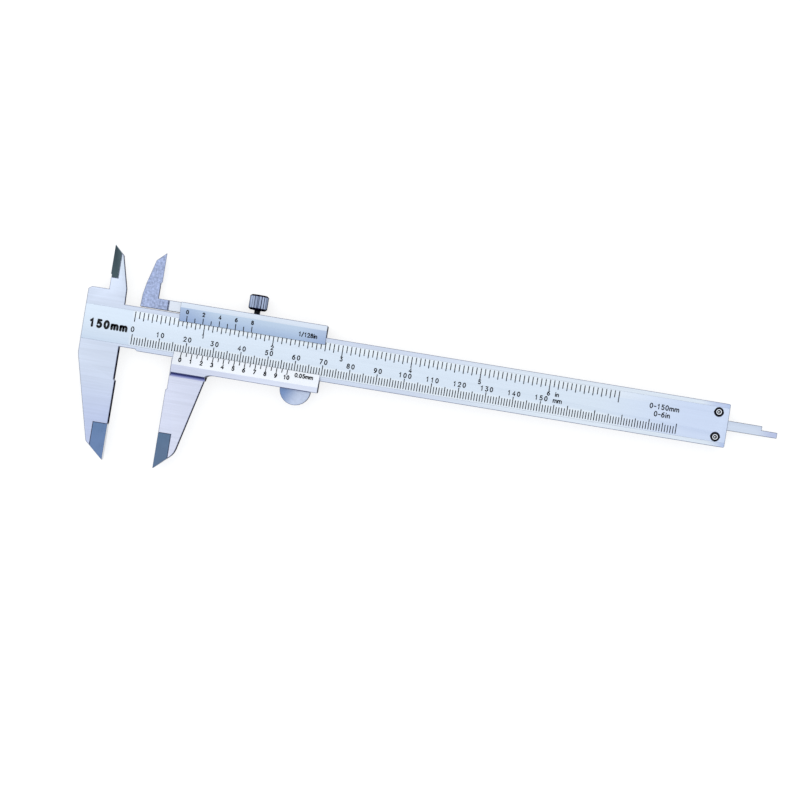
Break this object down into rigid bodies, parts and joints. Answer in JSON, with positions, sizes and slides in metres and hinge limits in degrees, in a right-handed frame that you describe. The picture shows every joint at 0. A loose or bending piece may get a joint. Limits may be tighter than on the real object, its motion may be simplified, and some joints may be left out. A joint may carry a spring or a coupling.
{
  "type": "vernier caliper",
  "caption": "Vernier caliper with a graduated beam, carbide-faced outside and inside jaws, sliding vernier frame, fluted lock screw, thumb rest and depth rod.",
  "frame": {"origin": "middle of the base of the caliper's box, as it lies on its back with the jaws open by 18.7 mm", "axes": "+X along the beam towards the depth rod, +Y towards the inside jaws, +Z out of the graduated face"},
  "size_m": [0.2556, 0.078, 0.008],
  "materials": {
    "beam_steel": "satin scale panel on finely ground stainless steel",
    "slider_steel": "finely ground stainless steel with satin vernier bevels",
    "plate_steel": "ground stainless steel",
    "rod_steel": "drawn and ground stainless steel",
    "knob_steel": "fluted and polished steel",
    "carbide": "dark ground tungsten carbide",
    "black_screw": "black oxide",
    "bronze": "phosphor bronze strip"
  },
  "bodies": {
    "beam": {"beam": "beam_steel", "fixed_outside_face": "carbide", "fixed_inside_face": "carbide", "stop_plate": "plate_steel", "stop_screw_1": "black_screw", "stop_screw_2": "black_screw"},
    "slider": {"slider_frame": "slider_steel", "moving_outside_face": "carbide", "moving_inside_face": "carbide", "gib_screw_1": "black_screw", "gib_screw_2": "black_screw", "depth_rod": "rod_steel", "rod_screw_1": "plate_steel", "rod_screw_2": "plate_steel"},
    "gib": {"gib": "bronze"},
    "lock_screw": {"lock_screw": "knob_steel"}
  },
  "joints": [
    {"name": "slider_travel", "type": "slide", "parent": "beam", "child": "slider", "axis": [1, 0, 0], "range_m": [-0.01865, 0.1333]},
    {"name": "gib_press", "type": "slide", "parent": "slider", "child": "gib", "axis": [0, -1, 0], "range_m": [0, 0.0001875]},
    {"name": "lock_screw_turn", "type": "hinge", "parent": "gib", "child": "lock_screw", "pos_m": [-0.06613, 0.0222, 0.00385], "axis": [0, -1, 0], "range_deg": [0, 150]}
  ],
  "couplings": [
    {"joint": "lock_screw_turn", "follows": "gib_press", "rad_per_m": 13963}
  ]
}
